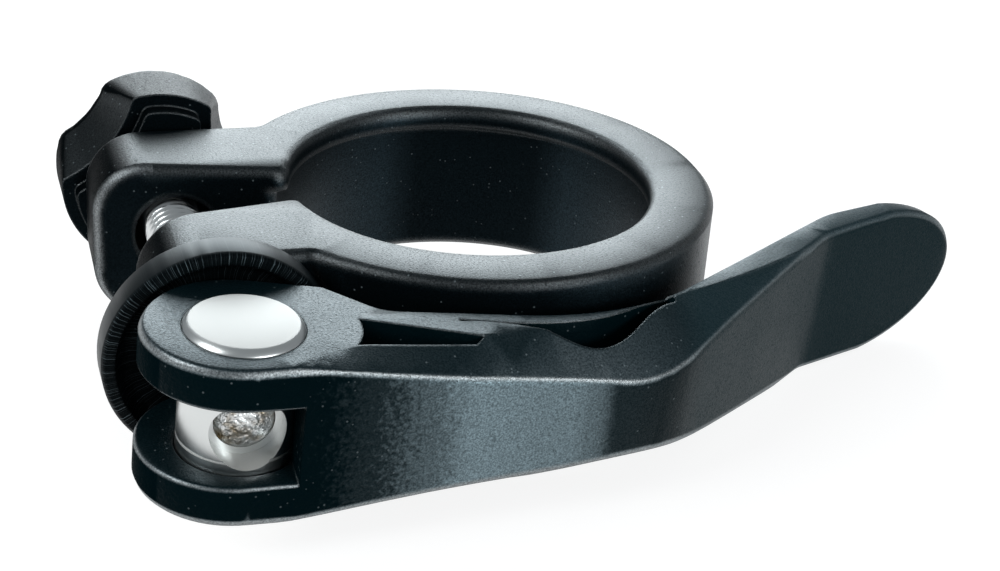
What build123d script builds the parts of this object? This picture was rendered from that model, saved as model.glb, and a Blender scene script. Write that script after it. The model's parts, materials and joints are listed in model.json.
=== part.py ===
from build123d import *
from math import acos, atan2, cos, degrees, radians, sin, tan
import os

# Quick-release seatpost clamp, millimetres. The collar's bore is the Z axis with z = 0 at mid
# height, the ears point to -X, the rod lies along Y and the closed lever lies on the -Y side.

# Collar: one forged ring with two ears, split between them, the nut's ear the longer
tube_r = 15.9
lip_r = 15.0
lip_height = 2.0
collar_r = 20.2
collar_half = 7.0
ear_inset = 7.5
ear_past_rod = 6.4
rod_from_ring = 7.1
ear_skew = 1.1
ear_corner = 4.5
ear_blend = 1.2
split_at_lip = 2.69
split_slope = 0.194
split_corner = 1.2
collar_edge = 0.55

# Rod and the clearances it shares with its neighbours. It leans and skews in the ears' wide holes.
thread_r = 2.5
shank_r = 2.2
ear_hole_slack = 1.0
running_slack = 0.05
drive_slack = 0.02
face_slack = 0.55
rod_shoulder = 0.3
rod_tail = 0.6
rod_chamfer = 0.5
skewer_lean = 2.0
skewer_skew = 1.8

# Cam washer: a cup the cam sits in
washer_r = 8.8
washer_floor = 1.55
washer_edge = 0.3
washer_side_gap = 0.35
cup_r = 7.8
cup_depth = 1.3
cup_side = 0.5
cup_floor_round = 0.35
cam_lift_slack = 0.18

# Pivot pin through the lever's fork
pin_r = 4.35
pin_proud = 0.5
pin_chamfer = 0.45
pin_line_z = 2.2
pin_line_deep = 0.12
rod_head_in = 2.6
head_seat_r = 2.75
head_seat_in = 2.1

# Lever: fork with an off-centre cam end, beveled arm with two windows, bent thumb blade. It sits
# turned a little about the rod, tail down.
lever_half = 6.35
lever_turn = 2.9
lever_edge = 0.45
bevel_edge = 0.3
cam_r = 6.8
cam_shift = (-0.4, 0.6)
cheek_slope = -12.4
arm_slope = 4.0
arm_gap = 1.3
arm_back_slope = 6.0
fork_half = 3.0
fork_bottom = 3.5
pin_hole_edge = 0.3
tip_long = 12.5
blade_angle = 21.0

# Lever plan, each spot as its distance along from the rod and out from the ring's near side
arm_corner = (31.07, 6.27)
blade_crease = (51.11, -10.43)
blade_end = (70.91, -19.17)
blade_end_back = (70.41, -20.15)
blade_tip = (67.81, -18.45)
blade_bend = (52.01, -14.1)
heel = (10.5, 0.15)
shoulder_from_rod = 6.8
shoulder_slack = 0.55
arm_round = 12.0
crease_round = 5.0
bend_round = 10.0
heel_round = 3.0
shoulder_round = 1.0

# How much the lever's half height grows, by distance along from the rod
blade_flare = ((-60, 0), (-20, 0), (20, 0), (34, 0), (46, 0.22), (58, 0.5), (74, 0.62))

# Windows in the lever's arm, measured alike
wedge_window = ((7.41, 5.3), (16.21, 4.95), (16.91, 4.35), (8.26, 1.5))
wedge_left = (8.26, 3.3)
lens_back = ((15.81, 1.9), (20.21, 2.65), (23.61, 2.65), (27.01, 2.0), (30.41, 0.4), (32.81, -1.0))
lens_right = (33.41, -0.7)
lens_front = ((33.11, -0.1), (29.91, 2.1), (27.61, 3.9), (25.21, 4.6), (23.01, 4.2), (20.21, 3.15),
              (15.81, 2.3))
lens_left = (15.61, 2.1)

# Bevel along the arm, from its crest to its foot, with the depth below the lever's top
bevel_crest = ((0.81, 8.0, -0.1), (12.81, 4.6, -0.01), (26.31, 2.7, -0.01), (33.81, -0.8, -0.01),
               (39.81, -3.6, -0.01), (53.31, -12.4, -0.5))
bevel_foot = ((0.81, 8.8, -0.1), (12.81, 8.1, 1.75), (27.41, 7.1, 3.55), (35.76, 2.9, 2.3),
              (41.31, -1.45, 1.4), (53.81, -10.9, -0.5))

# Adjusting nut: a thumb nut with three lobes
nut_r = 8.2
nut_long = 8.0
nut_step = 1.1
nut_step_long = 1.4
nut_round = 1.6
nut_corner = 0.7
nut_back_corner = 2.5
flute_r = 11.0
flute_deep = 2.6
flute_back_deep = 0.6
flute_turn = 140.0

# Places that follow from the sizes
ear_out = collar_r - ear_inset
corner_x = -((collar_r**2 - ear_out**2) ** 0.5)
rod_x = corner_x - rod_from_ring
ear_end = rod_x - ear_past_rod
cam_throw = (cam_shift[0] ** 2 + cam_shift[1] ** 2) ** 0.5
washer_back = -ear_out - face_slack
cup_floor = washer_back - washer_floor
washer_front = cup_floor - cup_depth
pin_y = cup_floor - cam_lift_slack - cam_throw - cam_r
pin_half = lever_half + pin_proud
rod_start = pin_y - rod_head_in
shoulder_y = pin_y + pin_r + rod_shoulder
nut_front = ear_out + face_slack
nut_back = nut_front + nut_long
rod_end = nut_back + rod_tail
rod_axis = Axis((rod_x, 0, 0), (0, 1, 0))
lean_axis = Axis((rod_x, pin_y, 0), (1, 0, 0))
skew_axis = Axis((rod_x, pin_y, 0), (0, 0, 1))
hole_x = rod_x + pin_y * tan(radians(skewer_skew))
hole_z = -pin_y * tan(radians(skewer_lean))


def lever_spot(spot):
    return (rod_x + spot[0], -collar_r - spot[1])


def bevel_spot(spot):
    return (*lever_spot(spot), lever_half - spot[2])


def on_outline(edges, outline):
    def above(edge):
        spot = edge @ 0.5
        return outline.distance_to(Vertex(spot.X, spot.Y, (outline @ 0).Z)) < 0.01

    return edges.filter_by(Axis.Z, reverse=True).filter_by(above)


# Collar band, with a lip at the top that stops the seat tube
with BuildPart() as collar:
    split_in = -lip_r / 2
    split_out = ear_end - ear_corner
    half_in = split_at_lip + split_slope * (-split_in - lip_r)
    half_out = split_at_lip + split_slope * (-split_out - lip_r)
    for level, height, bore_r in ((-collar_half, 2 * collar_half - lip_height, tube_r),
                                  (collar_half - lip_height, lip_height, lip_r)):
        with BuildSketch(Plane.XY.offset(level)) as ring_plan:
            Circle(collar_r)
            for side, edge in ((-1, Align.MAX), (1, Align.MIN)):
                end = ear_end - side * ear_skew
                with Locations((end, 0)):
                    Rectangle(-end, ear_out, align=(Align.MIN, edge))
            for side in (-1, 1):
                near = Vector(corner_x, side * ear_out, 0)
                fillet(ring_plan.vertices().sort_by_distance(near)[0], ear_blend)
            Circle(bore_r, mode=Mode.SUBTRACT)
            with BuildLine():
                Polyline((split_in, -half_in), (split_in, half_in), (split_out, half_out),
                         (split_out, -half_out), close=True)
            make_face(mode=Mode.SUBTRACT)
            for side in (-1, 1):
                near = Vector(-bore_r, side * split_at_lip, 0)
                fillet(ring_plan.vertices().sort_by_distance(near)[0], split_corner)
        extrude(amount=height)
    end_low = ear_end - ear_skew - collar_edge
    end_high = ear_end + ear_skew + collar_edge
    fillet(collar.edges().filter_by(Axis.Y).filter_by_position(Axis.X, end_low, end_high), ear_corner)
    # Broken edges all round the ears, the split and both rims
    rims = collar.faces().filter_by(Axis.Z).sort_by(Axis.Z)
    rim_edges = rims[0].edges() + rims[-1].edges()
    end_edges = collar.edges().filter_by_position(Axis.X, end_low, end_high + ear_corner)
    end_edges = end_edges.filter_by(lambda e: abs(e.center().Z) < collar_half - collar_edge)
    end_edges = end_edges.filter_by(Axis.Y, reverse=True)
    chamfer(rim_edges + end_edges, collar_edge)
    with Locations(Location((hole_x, 0, hole_z), (90, 0, 0))):
        Cylinder(thread_r + ear_hole_slack, 4 * ear_out, mode=Mode.SUBTRACT)
    # Seat for the washer, sunk into the ring's flank
    with BuildSketch(Plane.XZ.offset(ear_out)):
        with Locations((rod_x, 0)):
            Circle(washer_r + washer_side_gap)
    extrude(amount=collar_r, mode=Mode.SUBTRACT)

# Lever, drawn in plan and cut down to its beveled shape
shoulder = (rod_x + shoulder_from_rod, washer_front - shoulder_slack)
plan_rounds = ((lever_spot(arm_corner), arm_round), (lever_spot(blade_crease), crease_round),
               (lever_spot(blade_bend), bend_round), (lever_spot(heel), heel_round),
               (shoulder, shoulder_round))
tall_half = lever_half + blade_flare[-1][1]
bend = Vector(*lever_spot(blade_bend))
wrap_r = collar_r + arm_gap
wrap_from = -90 - arm_back_slope
wrap_to = degrees(atan2(bend.Y, bend.X) - acos(wrap_r / bend.length))
along = Vector(cos(radians(blade_angle)), sin(radians(blade_angle)), 0)
across = along.cross(Vector(0, 0, 1))
tip_from = Vector(*lever_spot(blade_tip), 0) - along * tip_long - across * collar_r
blade_side = Plane(origin=tip_from, x_dir=along, z_dir=across)
with BuildLine() as crest:
    Spline(*[bevel_spot(spot) for spot in bevel_crest])
with BuildLine() as foot:
    Spline(*[bevel_spot(spot) for spot in bevel_foot])
bevel_face = Face.make_surface_from_curves(crest.edges()[0], foot.edges()[0])

with BuildPart() as lever:
    with BuildSketch(Plane.XY.offset(-tall_half)) as plan:
        with BuildLine():
            cam_at = (rod_x + cam_shift[0], pin_y + cam_shift[1])
            cam = CenterArc(cam_at, cam_r, 90 + cheek_slope, 180 - cheek_slope + arm_slope)
            Polyline(cam @ 1, lever_spot(arm_corner), lever_spot(blade_crease), lever_spot(blade_end),
                     lever_spot(blade_end_back), lever_spot(blade_bend))
            wrap = CenterArc((0, 0), wrap_r, wrap_from, wrap_to - wrap_from)
            Line(lever_spot(blade_bend), wrap @ 1)
            Polyline(wrap @ 0, lever_spot(heel), shoulder, cam @ 0)
        make_face()
        for spot, radius in plan_rounds:
            fillet(plan.vertices().sort_by_distance(Vector(*spot))[0], radius)
    extrude(amount=2 * tall_half)
    outline = plan.sketch.faces()[0].outer_wire()
    # Flat along the arm, growing taller along the blade
    for side in (-1, 1):
        with BuildSketch(Plane.XZ.offset(-2 * collar_r)):
            with BuildLine():
                flare = Spline(*[(rod_x + spot[0], side * (lever_half + spot[1])) for spot in blade_flare])
                Polyline(flare @ 0, (flare @ 0).add(Vector(0, side * lever_half, 0)),
                         (flare @ 1).add(Vector(0, side * lever_half, 0)), flare @ 1)
            make_face()
        extrude(amount=4 * collar_r, mode=Mode.SUBTRACT)
    # Rounded thumb end, seen square on to the blade
    with BuildSketch(blade_side):
        Rectangle(2 * tip_long, 4 * lever_half, align=(Align.MIN, Align.CENTER))
        Ellipse(tip_long, tall_half, mode=Mode.SUBTRACT)
    extrude(amount=3 * collar_r, mode=Mode.SUBTRACT)
    chamfer(on_outline(lever.edges(), outline), lever_edge)
    # Bevels above and below, their long edges broken
    extrude(bevel_face, amount=lever_half, dir=(0, 0, 1), mode=Mode.SUBTRACT)
    extrude(bevel_face.mirror(Plane.XY), amount=lever_half, dir=(0, 0, -1), mode=Mode.SUBTRACT)
    low = lever_half - lever_edge - bevel_edge / 4
    long_edges = on_outline(lever.edges(), outline).filter_by_position(Axis.Z, -low, low)
    chamfer(long_edges.filter_by(lambda e: e.length > lever_half), bevel_edge)
    # Two windows through the arm
    with BuildSketch(Plane.XY.offset(-2 * lever_half)):
        with BuildLine():
            corners = [lever_spot(spot) for spot in wedge_window]
            Polyline(*corners)
            ThreePointArc(corners[0], lever_spot(wedge_left), corners[-1])
        make_face()
    extrude(amount=4 * lever_half, mode=Mode.SUBTRACT)
    with BuildSketch(Plane.XY.offset(-2 * lever_half)):
        with BuildLine():
            back = Spline(*[lever_spot(spot) for spot in lens_back])
            front = Spline(*[lever_spot(spot) for spot in lens_front])
            ThreePointArc(back @ 1, lever_spot(lens_right), front @ 0)
            ThreePointArc(front @ 1, lever_spot(lens_left), back @ 0)
        make_face()
    extrude(amount=4 * lever_half, mode=Mode.SUBTRACT)
    # Fork gap and pin hole
    with Locations((rod_x + fork_bottom, pin_y, 0)):
        Box(4 * cam_r, 4 * cam_r, 2 * fork_half, align=(Align.MAX, Align.CENTER, Align.CENTER),
            mode=Mode.SUBTRACT)
    gap_edges = on_outline(lever.edges(), outline).filter_by_position(Axis.Z, -fork_half, fork_half)
    chamfer(gap_edges, bevel_edge)
    with Locations((rod_x, pin_y)):
        Cylinder(pin_r + running_slack, 4 * lever_half, mode=Mode.SUBTRACT)
    faces = lever.faces().filter_by(Axis.Z).sort_by(Axis.Z)
    hole_rims = (faces[0].edges() + faces[-1].edges()).filter_by(GeomType.CIRCLE)
    hole_rims = hole_rims.filter_by(lambda e: abs(e.radius - pin_r - running_slack) < running_slack / 2)
    chamfer(hole_rims, pin_hole_edge)

# Pivot pin, cross-drilled for the rod, with a seat for its riveted head
with BuildPart() as pin:
    with Locations((rod_x, pin_y)):
        Cylinder(pin_r, 2 * pin_half)
    chamfer(pin.edges().filter_by(GeomType.CIRCLE), pin_chamfer)
    for side in (-1, 1):
        with BuildSketch(Plane(origin=(rod_x, pin_y, side * pin_line_z))):
            Circle(2 * pin_r)
            Circle(pin_r - pin_line_deep, mode=Mode.SUBTRACT)
        extrude(amount=pin_line_deep, both=True, mode=Mode.SUBTRACT)
    with BuildSketch(Plane.XZ.offset(-pin_y)):
        with Locations((rod_x, 0)):
            Circle(shank_r + drive_slack)
    extrude(amount=2 * pin_r, both=True, mode=Mode.SUBTRACT)
    with BuildSketch(Plane.XZ.offset(-pin_y + head_seat_in)):
        with Locations((rod_x, 0)):
            Circle(head_seat_r)
    extrude(amount=2 * pin_r, mode=Mode.SUBTRACT)

# Rod: plain in the pin, threaded from there to the nut
with BuildPart() as rod:
    with BuildSketch(Plane.XY):
        with BuildLine():
            Polyline((rod_x, rod_start), (rod_x + shank_r - rod_chamfer, rod_start),
                     (rod_x + shank_r, rod_start + rod_chamfer), (rod_x + shank_r, shoulder_y),
                     (rod_x + thread_r, shoulder_y + rod_shoulder), (rod_x + thread_r, rod_end - rod_chamfer),
                     (rod_x + thread_r - rod_chamfer, rod_end), (rod_x, rod_end), close=True)
        make_face()
    revolve(axis=rod_axis)

# Cam washer: a dished cup that the cam end bears in
with BuildPart() as washer:
    hole_edge = rod_x + thread_r + 2 * running_slack
    cup_foot = rod_x + cup_r - cup_side
    with BuildSketch(Plane.XY):
        with BuildLine():
            Polyline((hole_edge, washer_back), (rod_x + washer_r - washer_edge, washer_back),
                     (rod_x + washer_r, washer_back - washer_edge),
                     (rod_x + washer_r, washer_front + washer_edge),
                     (rod_x + washer_r - washer_edge, washer_front), (rod_x + cup_r, washer_front),
                     (cup_foot, cup_floor - cup_floor_round), (cup_foot - 2 * cup_floor_round, cup_floor),
                     (hole_edge, cup_floor), close=True)
        make_face()
    revolve(axis=rod_axis)

# Adjusting nut: three lobes with a stepped front, the flutes between them running out to the back
with BuildPart() as nut:
    flute_at = nut_r - flute_deep + flute_r
    flute_back_r = flute_at - nut_r + flute_back_deep
    for y, round_r, scoop_r, corner in ((nut_front, nut_r - nut_step, flute_r + nut_step, nut_corner),
                                        (nut_front + nut_step_long, nut_r, flute_r, nut_corner),
                                        (nut_back, nut_r, flute_back_r, nut_back_corner)):
        with BuildSketch(Plane.XZ.offset(-y)) as lobes:
            with Locations((rod_x, 0)):
                Circle(round_r)
                with PolarLocations(flute_at, 3, start_angle=flute_turn):
                    Circle(scoop_r, mode=Mode.SUBTRACT)
            fillet(lobes.vertices(), corner)
        if y == nut_front:
            extrude(amount=-nut_step_long)
    loft(ruled=True)
    fillet(nut.faces().sort_by(Axis.Y)[-1].edges(), nut_round)
    with Locations(Location((rod_x, 0, 0), (90, 0, 0))):
        Cylinder(thread_r + running_slack, 2 * rod_end + 2 * nut_long, mode=Mode.SUBTRACT)

# Each piece as it sits in the loose clamp: the lever swung on its pin, and the rod with all it
# carries turned about itself, leaning and skewed
os.makedirs("parts", exist_ok=True)
collar.part.label = "collar_band"
export_step(collar.part, "parts/collar_band.step")
for label, piece, swing, turn in (("lever", lever, -skewer_skew, lever_turn),
                                  ("pivot_pin", pin, 0, lever_turn), ("skewer_rod", rod, 0, 0),
                                  ("cam_washer", washer, 0, 0), ("adjusting_nut", nut, 0, 0)):
    with BuildPart() as placed:
        swung = piece.part.rotate(skew_axis, swing).rotate(rod_axis, turn)
        add(swung.rotate(lean_axis, skewer_lean).rotate(skew_axis, skewer_skew))
    placed.part.label = label
    export_step(placed.part, "parts/" + label + ".step")
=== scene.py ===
import json
from math import cos, pi, radians, sin
from types import SimpleNamespace

import bpy
from mathutils import Matrix, Vector


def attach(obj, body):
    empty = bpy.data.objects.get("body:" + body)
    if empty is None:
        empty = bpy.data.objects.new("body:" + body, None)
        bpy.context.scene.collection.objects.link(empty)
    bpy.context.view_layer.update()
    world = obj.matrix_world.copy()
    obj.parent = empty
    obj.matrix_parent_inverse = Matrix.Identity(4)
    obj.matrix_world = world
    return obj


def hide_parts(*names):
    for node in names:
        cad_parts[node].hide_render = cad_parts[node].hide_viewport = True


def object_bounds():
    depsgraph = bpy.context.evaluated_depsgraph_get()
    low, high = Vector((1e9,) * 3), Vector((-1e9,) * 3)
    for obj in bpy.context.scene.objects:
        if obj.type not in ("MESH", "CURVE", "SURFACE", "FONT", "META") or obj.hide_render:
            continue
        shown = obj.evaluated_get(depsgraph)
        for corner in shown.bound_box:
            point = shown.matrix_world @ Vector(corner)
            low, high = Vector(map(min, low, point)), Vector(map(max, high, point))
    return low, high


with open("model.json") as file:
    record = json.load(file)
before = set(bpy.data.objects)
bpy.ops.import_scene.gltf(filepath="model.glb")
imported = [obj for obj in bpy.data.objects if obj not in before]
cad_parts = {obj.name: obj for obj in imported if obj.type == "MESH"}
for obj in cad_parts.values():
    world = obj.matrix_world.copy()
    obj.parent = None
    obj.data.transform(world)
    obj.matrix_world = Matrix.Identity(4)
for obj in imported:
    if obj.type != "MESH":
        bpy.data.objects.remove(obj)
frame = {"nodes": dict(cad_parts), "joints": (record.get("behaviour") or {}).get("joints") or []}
cad_low, cad_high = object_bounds()
nodes = frame["nodes"]
joints = {joint["name"]: joint for joint in frame["joints"]}
scene = bpy.context.scene
scene.view_settings.view_transform = "Standard"

MM = 0.001

# The rod's line, which the washer and nut turn about, and two directions square to it
ROD_AT = Vector(joints["nut_spin"]["pos_m"])
ROD_WAY = Vector(joints["nut_spin"]["axis"]).normalized()
ROD_ACROSS = ROD_WAY.cross(Vector((0, 0, 1))).normalized()
ROD_ABOVE = ROD_ACROSS.cross(ROD_WAY)

# Viewpoint: degrees round and above the clamp, the camera's tilt, its distance, aim and lens
VIEW_ROUND = -18.05
VIEW_ABOVE = 26.31
VIEW_ROLL = 4.4
VIEW_FAR = 156.3 * MM
VIEW_AIM = Vector((1.75, -4.77, -1.10)) * MM
LENS = 67.9
SENSOR = 36.0
CLIP_NEAR = 10 * MM

# Shading: points closer than this are one, edges past these degrees stay sharp, and large faces count most
SAME_POINT = 0.001 * MM
ROD_SAME_POINT = 0.0005 * MM
SHARP_FROM = 50
ROD_SHARP_FROM = 60
PIN_SHARP_FROM = 32
LARGE_FACES_COUNT = 100

# Rod: rolled M5 thread, broken ends, and a plain shank through the pin
THREAD_PITCH = 0.8 * MM
THREAD_DEEP = 0.42 * MM
THREAD_RINGS = 12
THREAD_SLOPE = 1.35
THREAD_FLAT = 0.1
NEARLY_FULL = 0.99
ROD_SIDES = 48
ROD_EDGE = 0.5 * MM
ROD_SHOULDER = 0.3 * MM
HEAD_BACK = -41 * MM

# Pivot pin: its rounded edge as mm in from the end and in from the barrel, a scribed line near each end of
# the barrel, the hole for the rod and the wider seat of the rod's head
PIN_ROUND = ((0.0, 0.55), (0.04, 0.43), (0.40, 0.06), (0.53, 0.0))
PIN_LINE = 2.2 * MM
PIN_LINE_DEEP = 0.12 * MM
PIN_SIDES = 96
DRILL_R = 2.22 * MM
DRILL_REACH = 9 * MM
DRILL_SIDES = 64
SEAT_R = 2.75 * MM
SEAT_IN = 2.1 * MM

# Colours
COAT_BLACK = "#04080a"
COAT_SHEEN = "#8ba3ac"
# Painted glints: the grey that a few single grains are painted in the coat's base colour
COAT_PAINTED_GLINT = "#8d989c"
# Painted reflection tint: coated walls mirror bluer than the tops, standing in for a cool cast in their shade
WALL_PAINTED_CAST = "#8fbed5"
LEVER_BLACK = "#031317"
LEVER_SHEEN = "#d6f3ff"
# Painted reflection tint: the blade's lighter teal, standing in for the teal cast of its reflection
BLADE_PAINTED_TEAL = "#0a2126"
# Whiter mirror along broken edges: partly where the coat wears off, partly a painted highlight
EDGE_WEAR_AND_HIGHLIGHT_SHEEN = "#f2f9fc"
WASHER_BLACK = "#05090b"
WASHER_SHEEN = "#d6f3ff"
ZINC = "#d3d5d5"
PEENED = "#8a7550"
SATIN_STEEL = "#d2d6d6"
FACED_STEEL = "#dbd9d6"
FLOOR_GREY = "#8f8f8f"

# A noise texture's values lie mostly between these
NOISE_LOW, NOISE_HIGH = 0.3, 0.7

# Coat on blasted aluminium. Real tooth, pits and grains are some 0.05 mm across and wouldn't show in the
# picture, so they are drawn a few times coarser, as fine as they still show
TOOTH = 0.14 * MM
TOOTH_DEEP = 0.05 * MM
TOOTH_BUMP = 0.45
TOOTH_GLOSS = (0.5, 1.5)
PITS = 0.2 * MM
PITS_BETWEEN = (0.55, 0.7)
PITS_ROUGHER = 0.15
GRAINS = 0.45 * MM
GRAINS_PLAIN = 0.86
GRAIN_SPOT = (0.1, 0.22)
PAINTED_GLINT_SHARE = 0.35
CLOUDS = 5 * MM
CLOUDS_ROUGHER = 0.02

# How far a surface tilts, as the upright share of its normal: a wall below the first, a top above the second
WALL_TILT = (0.25, 0.5)

# Broken edges mirror more strongly and whiter, partly where the coat wears off and partly as a painted
# highlight: their tilt rises past the first pair and stays under the second. The END pairs pick the ears'
# rounded ends, which get a painted highlight band
EDGE_RISE, EDGE_FALL = (0.15, 0.32), (0.64, 0.83)
END_RISE, END_FALL = (0.25, 0.5), (0.8, 0.92)
EDGE_WEAR_AND_HIGHLIGHT_GLOSS = 1.0
EDGE_SAMPLES = 4

# Collar and nut: painted shade. Walls that face left at the ends, and walls that face the front, are made to
# mirror little, standing in for a dark room that they would see
EAR_ENDS = -25.5 * MM
LEFT_FACING = (-0.6, -0.2)
LEFT_SHADE_GLOSS = 0.005
FRONT = Vector((-0.31, -0.95, 0.0))
FRONT_FACING = (0.85, 0.94)
FRONT_SHADE_GLOSS = 0.12
COAT_IOR = 1.5

# Lever: painted reflection. How strongly its upright walls mirror, by the distance along the bore's X axis in
# mm:
# bright along the arm's middle, dark round the fork and on the blade, standing in for a bright and dark room
# that they would see. That is for the arm's outer face, and the walls behind it, up to where they end, mirror
# only slightly, as painted shade
ARM_PAINTED_GLOSS = ((-30, 0.01), (-18, 0.005), (-14, 0.09), (-10, 0.6), (-6.5, 1.4), (0.8, 1.18), (2.6, 0.8),
              (4.4, 0.08), (9, 0.03), (14, 0.04), (25, 0.045), (31, 0.02), (45, 0.015))
ARM_OUTER = (-25.8 * MM, -25.6 * MM)
BEHIND_SHADE_GLOSS = 0.05
BEHIND_ENDS = (6 * MM, 9 * MM)
BLADE_STARTS = (10 * MM, 13 * MM)
# On the blade the broken edges keep only this share of the edge wearing and painted highlight
BLADE_WEAR_AND_HIGHLIGHT = 0.3
LEVER_IOR = 1.75
LEVER_ROUGH = 0.38
LEVER_GLOSS = 0.2
# Lever's broken edges: partly where the coat wears off, partly a painted highlight
LEVER_EDGE_WEAR_AND_HIGHLIGHT_GLOSS = 1.7
LEVER_EDGE = 0.25 * MM

# Orange peel on the arm, drawn coarser than the real one so that it shows. It breaks up the left edge of the
# gloss, and is strong there and faint towards the blade
PEEL = 0.34 * MM
PEEL_DEEP = 0.09 * MM
PEEL_BETWEEN = (0.25, 0.75)
PEEL_FADES = (-2 * MM, 5 * MM)
PEEL_BUMP = (0.6, 0.08)
PEEL_SPREAD = (0.022, 0.0022)
PEEL_SPREAD_FADES = (-12 * MM, -2 * MM)

# Washer: radial serration of the front rim, by its spacing at the rim's middle
RIM_R = 8.125 * MM
SERRATION = 0.125 * MM
SERRATION_DEEP = 0.08 * MM
SERRATION_GLITTERS = (0.57, 0.75)
GLITTER_GLOSS = (0.03, 2.0)
RIM_EDGE = 0.25 * MM
RIM_FACING = (0.15, 0.6)
PLAIN_SHARE = 0.03
WASHER_ROUGH = 0.4
WASHER_GLOSS = 0.2

# Pin: its ends are faced and dull, its barrel smoother. Rod: bright plate, and a head dented by the riveting
PIN_FACED = (0.8, 0.98)
BARREL_ROUGH = 0.3
FACED_ROUGH = 0.72
ZINC_ROUGH = 0.28
HEAD_DENTS = 0.45 * MM
HEAD_DENTS_DEEP = 0.3 * MM
HEAD_STAINS = 1.1 * MM
STAINS_BETWEEN = (0.45, 0.7)

# Studio, in metres and watts: floor, room light, and soft boxes by place, width, height, power and tint
FLOOR_WIDE = 8.0
FLOOR_BELOW = 0.1 * MM
FLOOR_GLOW = 0.86
ROOM_TINT = (0.88, 0.95, 1.0, 1.0)
ROOM_LIGHT = 0.3
SOFT_BOXES = {
    "back_softbox": ((0.06, 0.49, 0.24), 0.38, 0.36, 3.3, (0.9, 0.97, 1.0)),
    "front_fill": ((0.27, -0.50, 0.14), 0.3, 0.18, 1.3, (0.95, 0.99, 1.0)),
    "left_fill": ((-0.43, -0.12, 0.33), 0.28, 0.26, 1.3, (0.95, 0.99, 1.0)),
}


def linear(hex_colour):
    """An sRGB hex colour as the linear RGBA that shaders work in."""
    channels = [int(hex_colour[i:i + 2], 16) / 255 for i in (1, 3, 5)]
    return [c / 12.92 if c < 0.04045 else ((c + 0.055) / 1.055) ** 2.4 for c in channels] + [1.0]


def add_node(tree, kind, inputs=(), **settings):
    """One shader node: inputs maps a socket's name or number to a value or to the socket it links to."""
    made = tree.nodes.new(kind)
    for name, value in settings.items():
        setattr(made, name, value)
    for name, value in dict(inputs).items():
        if isinstance(value, bpy.types.NodeSocket):
            tree.links.new(value, made.inputs[name])
        else:
            made.inputs[name].default_value = value
    return made


def new_material(name):
    made = bpy.data.materials.new(name)
    made.use_nodes = True
    made.node_tree.nodes.clear()
    return made


def dress(piece, material):
    piece.data.materials.clear()
    piece.data.materials.append(material)


def soften(piece):
    """Smooth shading that keeps flats flat and lets broken edges read as rounded."""
    for face in piece.data.polygons:
        face.use_smooth = True
    weld = piece.modifiers.new("weld", "WELD")
    weld.merge_threshold = SAME_POINT
    split = piece.modifiers.new("split", "EDGE_SPLIT")
    split.split_angle = radians(SHARP_FROM)
    split.use_edge_sharp = False
    weigh = piece.modifiers.new("weigh", "WEIGHTED_NORMAL")
    weigh.keep_sharp = True
    weigh.weight = LARGE_FACES_COUNT


def rounded_edges(tree, radius):
    """Normals with the broken edges rounded over: one for the shader, one in the piece's own frame."""
    normal = add_node(tree, "ShaderNodeBevel", {"Radius": radius}, samples=EDGE_SAMPLES).outputs["Normal"]
    facing = add_node(tree, "ShaderNodeVectorTransform", {"Vector": normal}, vector_type="NORMAL",
                      convert_from="WORLD", convert_to="OBJECT").outputs["Vector"]
    return normal, facing


def edge_band(tree, tilt, rise, fall):
    """1 on broken edges, whose tilt is past rise and under fall, and 0 on the flats that they join."""
    past = add_node(tree, "ShaderNodeMapRange", {
        "Value": tilt, "From Min": rise[0], "From Max": rise[1]}).outputs["Result"]
    under = add_node(tree, "ShaderNodeMapRange", {
        "Value": tilt, "From Min": fall[0], "From Max": fall[1],
        "To Min": 1.0, "To Max": 0.0}).outputs["Result"]
    return add_node(tree, "ShaderNodeMath", {0: past, 1: under}, operation="MULTIPLY").outputs[0]


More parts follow.
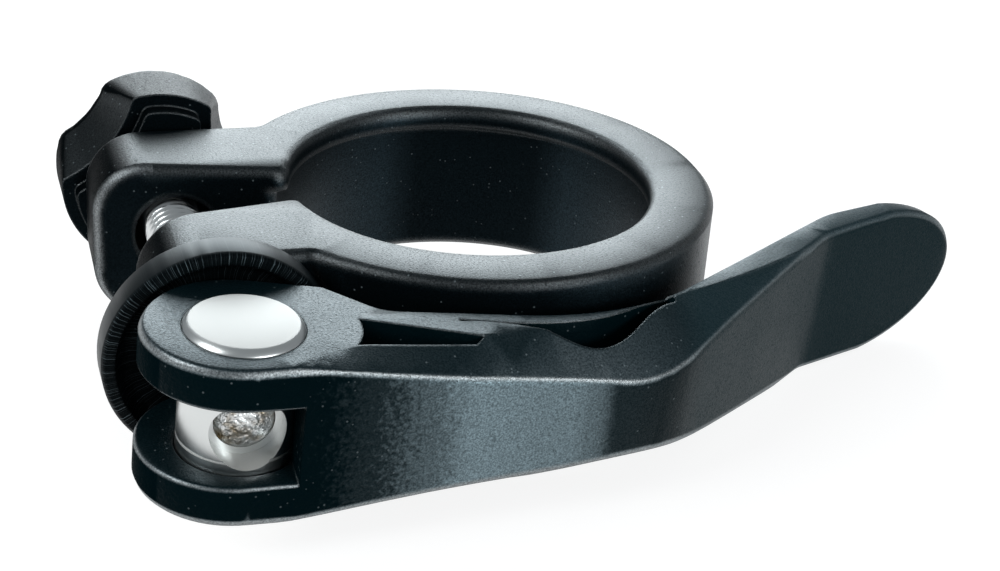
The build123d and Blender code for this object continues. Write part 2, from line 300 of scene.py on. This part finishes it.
def coat_ground(tree, black, roughness, edge_wide):
    """What the coated pieces share. Blasting leaves a fine tooth that breaks up the light on flat tops and
    rougher pits; a few single grains are painted lighter in the base colour, as painted glints."""
    place = add_node(tree, "ShaderNodeTexCoord").outputs["Object"]
    spot = add_node(tree, "ShaderNodeSeparateXYZ", {"Vector": place})
    normal, facing = rounded_edges(tree, edge_wide)
    faces = add_node(tree, "ShaderNodeSeparateXYZ", {"Vector": facing})
    up = add_node(tree, "ShaderNodeMath", {0: faces.outputs["Z"]}, operation="ABSOLUTE").outputs[0]
    wall = add_node(tree, "ShaderNodeMapRange", {
        "Value": up, "From Min": WALL_TILT[0], "From Max": WALL_TILT[1], "To Min": 1.0, "To Max": 0.0})
    tooth = add_node(tree, "ShaderNodeTexNoise", {
        "Vector": place, "Scale": 1 / TOOTH, "Detail": 1.0, "Roughness": 0.7})
    clouds = add_node(tree, "ShaderNodeTexNoise", {"Vector": place, "Scale": 1 / CLOUDS, "Detail": 3.0})
    clouds = add_node(tree, "ShaderNodeMapRange", {
        "Value": clouds.outputs["Fac"], "From Min": NOISE_LOW, "From Max": NOISE_HIGH,
        "To Min": roughness - CLOUDS_ROUGHER, "To Max": roughness + CLOUDS_ROUGHER})
    pits = add_node(tree, "ShaderNodeTexNoise", {"Vector": place, "Scale": 1 / PITS, "Detail": 1.0})
    pits = add_node(tree, "ShaderNodeMapRange", {
        "Value": pits.outputs["Fac"], "From Min": PITS_BETWEEN[0], "From Max": PITS_BETWEEN[1],
        "To Max": PITS_ROUGHER})
    rough = add_node(tree, "ShaderNodeMath", {0: clouds.outputs["Result"], 1: pits.outputs["Result"]},
                     operation="ADD")
    # Painted glints: a few single grains are painted lighter in the base colour
    grains = add_node(tree, "ShaderNodeTexVoronoi", {"Vector": place, "Scale": 1 / GRAINS})
    glinting_grain = add_node(tree, "ShaderNodeSeparateColor", {"Color": grains.outputs["Color"]})
    glinting_grain = add_node(tree, "ShaderNodeMath", {0: glinting_grain.outputs["Red"], 1: GRAINS_PLAIN},
                    operation="GREATER_THAN")
    painted_glint = add_node(tree, "ShaderNodeMapRange", {
        "Value": grains.outputs["Distance"], "From Min": GRAIN_SPOT[0], "From Max": GRAIN_SPOT[1],
        "To Min": PAINTED_GLINT_SHARE, "To Max": 0.0})
    painted_glint = add_node(tree, "ShaderNodeMath", {0: painted_glint.outputs["Result"], 1: glinting_grain.outputs[0]},
                     operation="MULTIPLY")
    colour = add_node(tree, "ShaderNodeMixRGB", {
        "Fac": painted_glint.outputs[0], "Color1": linear(black), "Color2": linear(COAT_PAINTED_GLINT)})
    return SimpleNamespace(
        place=place, along=spot.outputs["X"], across=spot.outputs["Y"], normal=normal, facing=facing,
        faces_right=faces.outputs["X"], faces_back=faces.outputs["Y"], up=up, wall=wall.outputs["Result"],
        tooth=tooth.outputs["Fac"], rough=rough.outputs[0], colour=colour.outputs["Color"])


def coat_top(tree, ground, gloss, tint, wear_and_highlight, wear_and_highlight_gloss, ior):
    """The coat's shader. Along its broken edges it mirrors more strongly and whiter, partly where the coat
    wears off and partly as a painted highlight, and the tooth varies its gloss from spot to spot."""
    gloss = add_node(tree, "ShaderNodeMix", {"Factor": wear_and_highlight, "A": gloss, "B": wear_and_highlight_gloss},
                     clamp_factor=False).outputs["Result"]
    tint = add_node(tree, "ShaderNodeMixRGB", {"Fac": wear_and_highlight, "Color1": tint, "Color2": linear(EDGE_WEAR_AND_HIGHLIGHT_SHEEN)})
    patch = add_node(tree, "ShaderNodeMapRange", {
        "Value": ground.tooth, "From Min": NOISE_LOW, "From Max": NOISE_HIGH,
        "To Min": TOOTH_GLOSS[0], "To Max": TOOTH_GLOSS[1]})
    gloss = add_node(tree, "ShaderNodeMath", {0: gloss, 1: patch.outputs["Result"]}, operation="MULTIPLY")
    bump = add_node(tree, "ShaderNodeBump", {
        "Height": ground.tooth, "Strength": TOOTH_BUMP, "Distance": TOOTH_DEEP, "Normal": ground.normal})
    shader = add_node(tree, "ShaderNodeBsdfPrincipled", {
        "Base Color": ground.colour, "Roughness": ground.rough, "IOR": ior, "Normal": bump.outputs["Normal"],
        "Specular IOR Level": gloss.outputs[0], "Specular Tint": tint.outputs["Color"]})
    add_node(tree, "ShaderNodeOutputMaterial", {"Surface": shader.outputs["BSDF"]})


def blasted_coat(name, roughness, level, edge_wide, ends_at, end_highlight):
    """Black satin coat on sand-blasted aluminium: flat tops shine softly and evenly, broken edges catch a
    line of light, partly where the coat wears off and partly as a painted highlight, and walls stay near
    black. Walls that face left at the ends, and walls that face the front, have painted shade and mirror
    little, and walls mirror with a bluer painted tint. Left of ends_at, the rounded ends get a painted
    highlight band, as strong as the last argument says."""
    material = new_material(name)
    tree = material.node_tree
    ground = coat_ground(tree, COAT_BLACK, roughness, edge_wide)
    at_ends = add_node(tree, "ShaderNodeMath", {0: ground.along, 1: ends_at},
                       operation="LESS_THAN").outputs[0]
    # Painted shade: walls that face left at the ears' ends, and walls that face the front, mirror little
    left = add_node(tree, "ShaderNodeMapRange", {
        "Value": ground.faces_right, "From Min": LEFT_FACING[0], "From Max": LEFT_FACING[1],
        "To Min": 1.0, "To Max": 0.0})
    painted_shade = add_node(tree, "ShaderNodeMath", {0: left.outputs["Result"], 1: at_ends},
                    operation="MULTIPLY").outputs[0]
    front = add_node(tree, "ShaderNodeVectorMath", {0: ground.facing, 1: FRONT}, operation="DOT_PRODUCT")
    front = add_node(tree, "ShaderNodeMapRange", {
        "Value": front.outputs["Value"], "From Min": FRONT_FACING[0], "From Max": FRONT_FACING[1],
        "To Min": level, "To Max": FRONT_SHADE_GLOSS})
    gloss = add_node(tree, "ShaderNodeMix", {
        "Factor": painted_shade, "A": front.outputs["Result"], "B": LEFT_SHADE_GLOSS}).outputs["Result"]
    unshaded = add_node(tree, "ShaderNodeMath", {0: 1.0, 1: painted_shade}, operation="SUBTRACT")
    # Broken edges mirror more strongly: partly where the coat wears off, partly a painted highlight
    edges = edge_band(tree, ground.up, EDGE_RISE, EDGE_FALL)
    edges = add_node(tree, "ShaderNodeMath", {0: edges, 1: unshaded.outputs[0]}, operation="MULTIPLY")
    # Painted highlight: a bright mirror band on the rounded ends left of ends_at
    out = add_node(tree, "ShaderNodeMath", {0: ground.faces_back}, operation="ABSOLUTE").outputs[0]
    end_highlight_band = edge_band(tree, out, END_RISE, END_FALL)
    end_highlight_band = add_node(tree, "ShaderNodeMath", {0: end_highlight_band, 1: at_ends}, operation="MULTIPLY")
    wear_and_highlight = add_node(tree, "ShaderNodeMath", {0: end_highlight_band.outputs[0], 1: end_highlight, 2: edges.outputs[0]},
                    operation="MULTIPLY_ADD").outputs[0]
    # Painted reflection tint: walls mirror bluer than tops
    tint = add_node(tree, "ShaderNodeMixRGB", {
        "Fac": ground.wall, "Color1": linear(COAT_SHEEN), "Color2": linear(WALL_PAINTED_CAST)}).outputs["Color"]
    coat_top(tree, ground, gloss, tint, wear_and_highlight, EDGE_WEAR_AND_HIGHLIGHT_GLOSS, COAT_IOR)
    return material


def painted_gloss_along_arm(tree, along, peel):
    """The painted reflection strength listed above, as one number along the lever, its changes broken up by
    the peel.
    """
    first, last = ARM_PAINTED_GLOSS[0][0], ARM_PAINTED_GLOSS[-1][0]
    share = add_node(tree, "ShaderNodeMapRange", {
        "Value": along, "From Min": first * MM, "From Max": last * MM})
    specks = add_node(tree, "ShaderNodeMapRange", {
        "Value": peel, "From Min": PEEL_BETWEEN[0], "From Max": PEEL_BETWEEN[1],
        "To Min": -1.0}, clamp=False)
    spread = add_node(tree, "ShaderNodeMapRange", {
        "Value": along, "From Min": PEEL_SPREAD_FADES[0], "From Max": PEEL_SPREAD_FADES[1],
        "To Min": PEEL_SPREAD[0], "To Max": PEEL_SPREAD[1]})
    share = add_node(tree, "ShaderNodeMath", {
        0: specks.outputs["Result"], 1: spread.outputs["Result"], 2: share.outputs["Result"]},
        operation="MULTIPLY_ADD")
    ramp = add_node(tree, "ShaderNodeValToRGB", {"Fac": share.outputs[0]})
    ramp.color_ramp.interpolation = "EASE"
    stops = ramp.color_ramp.elements
    for count, (at, strength) in enumerate(ARM_PAINTED_GLOSS):
        stop = stops[count] if count < 2 else stops.new(1.0)
        stop.position = (at - first) / (last - first)
        stop.color = (strength, strength, strength, 1.0)
    return ramp.outputs["Color"]


def sprayed_coat(name):
    """Black coat sprayed on the lever's aluminium, with a painted reflection: glossy along the middle of the
    arm, where its orange peel shows, and dark round the fork and on the blade. The blade is painted a lighter
    teal as a painted tint for its reflection, and the bright line along the broken edges is partly where the
    coat wears off and partly a painted highlight."""
    material = new_material(name)
    tree = material.node_tree
    ground = coat_ground(tree, LEVER_BLACK, LEVER_ROUGH, LEVER_EDGE)
    # Painted reflection tint: the blade is painted a lighter teal than the rest of the lever
    blade = add_node(tree, "ShaderNodeMapRange", {
        "Value": ground.along, "From Min": BLADE_STARTS[0], "From Max": BLADE_STARTS[1]}).outputs["Result"]
    ground.colour = add_node(tree, "ShaderNodeMixRGB", {
        "Fac": blade, "Color1": ground.colour, "Color2": linear(BLADE_PAINTED_TEAL)}).outputs["Color"]
    # Painted reflection: the arm's outer wall mirrors strongly along its middle, the walls behind it little
    # (painted shade)
    outer = add_node(tree, "ShaderNodeMapRange", {
        "Value": ground.across, "From Min": ARM_OUTER[0], "From Max": ARM_OUTER[1],
        "To Min": 1.0, "To Max": BEHIND_SHADE_GLOSS})
    past = add_node(tree, "ShaderNodeMapRange", {
        "Value": ground.along, "From Min": BEHIND_ENDS[0], "From Max": BEHIND_ENDS[1]})
    outer = add_node(tree, "ShaderNodeMath", {0: outer.outputs["Result"], 1: past.outputs["Result"]},
                     operation="MAXIMUM")
    peel = add_node(tree, "ShaderNodeTexNoise", {
        "Vector": ground.place, "Scale": 1 / PEEL, "Detail": 1.0}).outputs["Fac"]
    arm = painted_gloss_along_arm(tree, ground.along, peel)
    arm = add_node(tree, "ShaderNodeMath", {0: arm, 1: outer.outputs[0]}, operation="MULTIPLY")
    gloss = add_node(tree, "ShaderNodeMix", {
        "Factor": ground.wall, "A": LEVER_GLOSS, "B": arm.outputs[0]}).outputs["Result"]
    strong = add_node(tree, "ShaderNodeMapRange", {
        "Value": ground.along, "From Min": PEEL_FADES[0], "From Max": PEEL_FADES[1],
        "To Min": PEEL_BUMP[0], "To Max": PEEL_BUMP[1]})
    strong = add_node(tree, "ShaderNodeMath", {0: strong.outputs["Result"], 1: ground.wall},
                      operation="MULTIPLY")
    ground.normal = add_node(tree, "ShaderNodeBump", {
        "Height": peel, "Distance": PEEL_DEEP, "Strength": strong.outputs[0],
        "Normal": ground.normal}).outputs["Normal"]
    # Broken edges mirror more strongly, less so on the blade: partly where the coat wears off, partly a
    # painted highlight
    wear_and_highlight_share = add_node(tree, "ShaderNodeMapRange", {"Value": blade, "To Min": 1.0, "To Max": BLADE_WEAR_AND_HIGHLIGHT})
    edges = edge_band(tree, ground.up, EDGE_RISE, EDGE_FALL)
    wear_and_highlight = add_node(tree, "ShaderNodeMath", {0: edges, 1: wear_and_highlight_share.outputs["Result"]},
                    operation="MULTIPLY").outputs[0]
    coat_top(tree, ground, gloss, linear(LEVER_SHEEN), wear_and_highlight, LEVER_EDGE_WEAR_AND_HIGHLIGHT_GLOSS, LEVER_IOR)
    return material


def serrated_black(name):
    """Black turned aluminium: the outside is plain and dark, and the front rim is pressed with fine radial
    teeth that glitter one by one."""
    material = new_material(name)
    tree = material.node_tree
    place = add_node(tree, "ShaderNodeTexCoord").outputs["Object"]
    out = add_node(tree, "ShaderNodeVectorMath", {0: place, 1: ROD_AT},
                   operation="SUBTRACT").outputs["Vector"]
    wide = add_node(tree, "ShaderNodeVectorMath", {0: out, 1: ROD_ACROSS}, operation="DOT_PRODUCT")
    high = add_node(tree, "ShaderNodeVectorMath", {0: out, 1: ROD_ABOVE}, operation="DOT_PRODUCT")
    angle = add_node(tree, "ShaderNodeMath", {0: high.outputs["Value"], 1: wide.outputs["Value"]},
                     operation="ARCTAN2")
    teeth = add_node(tree, "ShaderNodeTexNoise", {
        "W": angle.outputs[0], "Scale": RIM_R / SERRATION, "Detail": 3.0, "Roughness": 0.7},
        noise_dimensions="1D").outputs["Fac"]
    normal, facing = rounded_edges(tree, RIM_EDGE)
    front = add_node(tree, "ShaderNodeVectorMath", {0: facing, 1: -ROD_WAY}, operation="DOT_PRODUCT")
    front = add_node(tree, "ShaderNodeMapRange", {
        "Value": front.outputs["Value"], "From Min": RIM_FACING[0], "From Max": RIM_FACING[1],
        "To Min": PLAIN_SHARE, "To Max": 1.0}).outputs["Result"]
    bump = add_node(tree, "ShaderNodeBump", {
        "Height": teeth, "Strength": front, "Distance": SERRATION_DEEP, "Normal": normal})
    glitter = add_node(tree, "ShaderNodeMapRange", {
        "Value": teeth, "From Min": SERRATION_GLITTERS[0], "From Max": SERRATION_GLITTERS[1],
        "To Min": GLITTER_GLOSS[0], "To Max": GLITTER_GLOSS[1]})
    level = add_node(tree, "ShaderNodeMix", {
        "Factor": front, "A": WASHER_GLOSS, "B": glitter.outputs["Result"]})
    shader = add_node(tree, "ShaderNodeBsdfPrincipled", {
        "Base Color": linear(WASHER_BLACK), "Roughness": WASHER_ROUGH, "IOR": COAT_IOR,
        "Normal": bump.outputs["Normal"], "Specular IOR Level": level.outputs["Result"],
        "Specular Tint": linear(WASHER_SHEEN)})
    add_node(tree, "ShaderNodeOutputMaterial", {"Surface": shader.outputs["BSDF"]})
    return material


def satin_pin(name):
    """Turned steel: the faced ends are dull and pale, the barrel is smoother and mirrors the fork."""
    material = new_material(name)
    tree = material.node_tree
    facing = add_node(tree, "ShaderNodeTexCoord").outputs["Normal"]
    up = add_node(tree, "ShaderNodeSeparateXYZ", {"Vector": facing}).outputs["Z"]
    up = add_node(tree, "ShaderNodeMath", {0: up}, operation="ABSOLUTE").outputs[0]
    rough = add_node(tree, "ShaderNodeMapRange", {
        "Value": up, "From Min": PIN_FACED[0], "From Max": PIN_FACED[1],
        "To Min": BARREL_ROUGH, "To Max": FACED_ROUGH}).outputs["Result"]
    colour = add_node(tree, "ShaderNodeMixRGB", {
        "Fac": rough, "Color1": linear(SATIN_STEEL), "Color2": linear(FACED_STEEL)})
    shader = add_node(tree, "ShaderNodeBsdfPrincipled", {
        "Base Color": colour.outputs["Color"], "Metallic": 1.0, "Roughness": rough})
    add_node(tree, "ShaderNodeOutputMaterial", {"Surface": shader.outputs["BSDF"]})
    return material


def plated_rod(name):
    """Bright zinc plate on a rolled thread. The riveted head is dented and a little yellow in places."""
    material = new_material(name)
    tree = material.node_tree
    place = add_node(tree, "ShaderNodeTexCoord").outputs["Object"]
    out = add_node(tree, "ShaderNodeVectorMath", {0: place, 1: ROD_AT},
                   operation="SUBTRACT").outputs["Vector"]
    along = add_node(tree, "ShaderNodeVectorMath", {0: out, 1: ROD_WAY}, operation="DOT_PRODUCT")
    head = add_node(tree, "ShaderNodeMath", {0: along.outputs["Value"], 1: HEAD_BACK},
                    operation="LESS_THAN").outputs[0]
    dents = add_node(tree, "ShaderNodeTexNoise", {"Vector": place, "Scale": 1 / HEAD_DENTS, "Detail": 2.0})
    stains = add_node(tree, "ShaderNodeTexNoise", {"Vector": place, "Scale": 1 / HEAD_STAINS, "Detail": 2.0})
    stains = add_node(tree, "ShaderNodeMapRange", {
        "Value": stains.outputs["Fac"], "From Min": STAINS_BETWEEN[0], "From Max": STAINS_BETWEEN[1]})
    stains = add_node(tree, "ShaderNodeMath", {0: stains.outputs["Result"], 1: head}, operation="MULTIPLY")
    colour = add_node(tree, "ShaderNodeMixRGB", {
        "Fac": stains.outputs[0], "Color1": linear(ZINC), "Color2": linear(PEENED)})
    bump = add_node(tree, "ShaderNodeBump", {
        "Height": dents.outputs["Fac"], "Strength": head, "Distance": HEAD_DENTS_DEEP})
    shader = add_node(tree, "ShaderNodeBsdfPrincipled", {
        "Base Color": colour.outputs["Color"], "Metallic": 1.0, "Roughness": ZINC_ROUGH,
        "Normal": bump.outputs["Normal"]})
    add_node(tree, "ShaderNodeOutputMaterial", {"Surface": shader.outputs["BSDF"]})
    return material


def threaded_rod():
    """The rod with its rolled thread, plain in the pin and riveted over at that end."""
    solid = nodes["skewer_rod"]
    along = [(point.co - ROD_AT).dot(ROD_WAY) for point in solid.data.vertices]
    from_rod = [(point.co - ROD_AT - ROD_WAY * far).length
                for point, far in zip(solid.data.vertices, along)]
    start, end = min(along), max(along)
    thread_r = max(from_rod)
    thread_start = min(far for far, radius in zip(along, from_rod) if radius > NEARLY_FULL * thread_r)
    shank_r = thread_r - ROD_SHOULDER
    rows = [(start, 0.0, 0), (start, shank_r - ROD_EDGE, 0), (start + ROD_EDGE, shank_r, 0),
            (thread_start - ROD_SHOULDER, shank_r, 0)]
    cut_long = end - ROD_EDGE - thread_start
    steps = int(cut_long / (THREAD_PITCH / THREAD_RINGS))
    rows += [(thread_start + cut_long * step / steps, thread_r, 1) for step in range(steps + 1)]
    rows += [(end, thread_r - ROD_EDGE, 0), (end, 0.0, 0)]
    points = []
    for far, radius, cut in rows:
        for side in range(ROD_SIDES):
            turn = 2 * pi * side / ROD_SIDES
            phase = ((far - thread_start) / THREAD_PITCH - side / ROD_SIDES) % 1
            groove = min(1.0, max(0.0, THREAD_SLOPE * (1 - abs(2 * phase - 1)) - THREAD_FLAT))
            r = radius - cut * THREAD_DEEP * groove
            points.append(ROD_AT + ROD_WAY * far
                          + ROD_ACROSS * (r * cos(turn)) + ROD_ABOVE * (r * sin(turn)))
    faces = []
    for row in range(len(rows) - 1):
        for side in range(ROD_SIDES):
            after = (side + 1) % ROD_SIDES
            here, there = row * ROD_SIDES, (row + 1) * ROD_SIDES
            faces.append((here + side, there + side, there + after, here + after))
    mesh = bpy.data.meshes.new("threaded_rod")
    mesh.from_pydata(points, [], faces)
    for face in mesh.polygons:
        face.use_smooth = True
    rod = bpy.data.objects.new("threaded_rod", mesh)
    scene.collection.objects.link(rod)
    weld = rod.modifiers.new("weld", "WELD")
    weld.merge_threshold = ROD_SAME_POINT
    split = rod.modifiers.new("split", "EDGE_SPLIT")
    split.split_angle = radians(ROD_SHARP_FROM)
    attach(rod, "skewer")
    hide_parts("skewer_rod")
    return rod


def lathe(name, profile, at, way, sides):
    """A turned piece: profile holds (distance along, radius) rows from one end to the other."""
    across = way.orthogonal().normalized()
    above = way.cross(across)
    points = []
    for far, radius in profile:
        for side in range(sides):
            turn = 2 * pi * side / sides
            points.append(at + way * far + across * (radius * cos(turn)) + above * (radius * sin(turn)))
    faces = [tuple(reversed(range(sides)))]
    for row in range(len(profile) - 1):
        for side in range(sides):
            after = (side + 1) % sides
            here, there = row * sides, (row + 1) * sides
            faces.append((here + side, here + after, there + after, there + side))
    faces.append(tuple(range((len(profile) - 1) * sides, len(profile) * sides)))
    mesh = bpy.data.meshes.new(name)
    mesh.from_pydata(points, [], faces)
    piece = bpy.data.objects.new(name, mesh)
    scene.collection.objects.link(piece)
    return piece


def turned_pin():
    """The pivot pin with rounded ends, cross-drilled and seated for the rod's riveted head."""
    pin_at = Vector(joints["lever_swing"]["pos_m"])
    pin_way = Vector(joints["lever_swing"]["axis"]).normalized()
    points = [point.co - pin_at for point in nodes["pivot_pin"].data.vertices]
    half = max(point.dot(pin_way) for point in points)
    radius = max((point - pin_way * point.dot(pin_way)).length for point in points)
    end = [(half - far * MM, radius - deep * MM) for far, deep in PIN_ROUND]
    end += [(PIN_LINE + PIN_LINE_DEEP, radius), (PIN_LINE + PIN_LINE_DEEP / 2, radius - PIN_LINE_DEEP),
            (PIN_LINE - PIN_LINE_DEEP / 2, radius - PIN_LINE_DEEP), (PIN_LINE - PIN_LINE_DEEP, radius)]
    profile = [(-far, wide) for far, wide in end] + [(far, wide) for far, wide in reversed(end)]
    pin = lathe("turned_pin", profile, pin_at, pin_way, PIN_SIDES)
    drill = lathe("drill", [(-DRILL_REACH, SEAT_R), (-SEAT_IN, SEAT_R), (-SEAT_IN, DRILL_R),
                            (DRILL_REACH, DRILL_R)], pin_at, ROD_WAY, DRILL_SIDES)
    cut = pin.modifiers.new("cut", "BOOLEAN")
    cut.operation = "DIFFERENCE"
    cut.solver = "EXACT"
    cut.object = drill
    cut_mesh = bpy.data.meshes.new_from_object(pin.evaluated_get(bpy.context.evaluated_depsgraph_get()))
    pin.modifiers.clear()
    pin.data = cut_mesh
    cut_mesh.name = "turned_pin"
    bpy.data.objects.remove(drill)
    for face in cut_mesh.polygons:
        face.use_smooth = True
    split = pin.modifiers.new("split", "EDGE_SPLIT")
    split.split_angle = radians(PIN_SHARP_FROM)
    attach(pin, "skewer")
    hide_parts("pivot_pin")
    return pin


def soft_box(name, place, wide, tall, power, tint):
    lamp = bpy.data.lights.new(name, "AREA")
    lamp.shape = "RECTANGLE"
    lamp.size = wide
    lamp.size_y = tall
    lamp.energy = power
    lamp.color = tint
    made = bpy.data.objects.new(name, lamp)
    made.location = place
    made.rotation_euler = (-Vector(place)).to_track_quat("-Z", "Y").to_euler()
    made.visible_camera = False
    scene.collection.objects.link(made)


def studio():
    """Floor that looks white to the camera and in reflections, a soft box behind the clamp, weaker ones at
    the front right and the left, and a little light from the room."""
    bpy.ops.mesh.primitive_plane_add(size=FLOOR_WIDE, location=(0, 0, cad_low.z - FLOOR_BELOW))
    floor = bpy.context.object
    floor.name = "floor"
    material = new_material("white_painted_floor")
    tree = material.node_tree
    ray = add_node(tree, "ShaderNodeLightPath")
    seen = add_node(tree, "ShaderNodeMath", {
        0: ray.outputs["Is Camera Ray"], 1: ray.outputs["Is Glossy Ray"]}, operation="ADD")
    seen = add_node(tree, "ShaderNodeMath", {0: seen.outputs[0], 1: ray.outputs["Is Transmission Ray"]},
                    operation="ADD", use_clamp=True)
    strength = add_node(tree, "ShaderNodeMath", {0: seen.outputs[0], 1: FLOOR_GLOW}, operation="MULTIPLY")
    paint = add_node(tree, "ShaderNodeBsdfDiffuse", {"Color": linear(FLOOR_GREY)})
    glow = add_node(tree, "ShaderNodeEmission", {"Strength": strength.outputs[0]})
    both = add_node(tree, "ShaderNodeAddShader", {0: paint.outputs["BSDF"], 1: glow.outputs["Emission"]})
    add_node(tree, "ShaderNodeOutputMaterial", {"Surface": both.outputs["Shader"]})
    dress(floor, material)
    world = bpy.data.worlds.new("studio")
    world.use_nodes = True
    world.node_tree.nodes["Background"].inputs["Color"].default_value = ROOM_TINT
    world.node_tree.nodes["Background"].inputs["Strength"].default_value = ROOM_LIGHT
    scene.world = world
    for name, settings in SOFT_BOXES.items():
        soft_box(name, *settings)


def photograph_camera():
    """Camera at the photograph's angle, rolled as it was held."""
    turn, rise, roll = radians(VIEW_ROUND), radians(VIEW_ABOVE), radians(VIEW_ROLL)
    back = Vector((sin(turn) * cos(rise), -cos(turn) * cos(rise), sin(rise)))
    right = Vector((cos(turn), sin(turn), 0))
    up = back.cross(right)
    side = right * cos(roll) + up * sin(roll)
    head = up * cos(roll) - right * sin(roll)
    data = bpy.data.cameras.new("camera")
    data.lens = LENS
    data.sensor_width = SENSOR
    data.clip_start = CLIP_NEAR
    camera = bpy.data.objects.new("camera", data)
    camera.matrix_world = Matrix((side, head, back)).transposed().to_4x4()
    camera.location = VIEW_AIM + back * VIEW_FAR
    scene.collection.objects.link(camera)
    scene.camera = camera


finishes = {
    "collar_band": blasted_coat("black_coated_blasted_aluminium", roughness=0.36, level=0.45,
                                edge_wide=0.9 * MM, ends_at=EAR_ENDS, end_highlight=3.4),
    "lever": sprayed_coat("black_spray_coated_aluminium"),
    "adjusting_nut": blasted_coat("black_coated_cast_aluminium", roughness=0.42, level=0.2,
                                  edge_wide=0.25 * MM, ends_at=0.0, end_highlight=1.0),
    "cam_washer": serrated_black("black_turned_aluminium"),
}
for name, finish in finishes.items():
    dress(nodes[name], finish)
    soften(nodes[name])
dress(threaded_rod(), plated_rod("zinc_plated_steel"))
dress(turned_pin(), satin_pin("satin_turned_steel"))
studio()
photograph_camera()
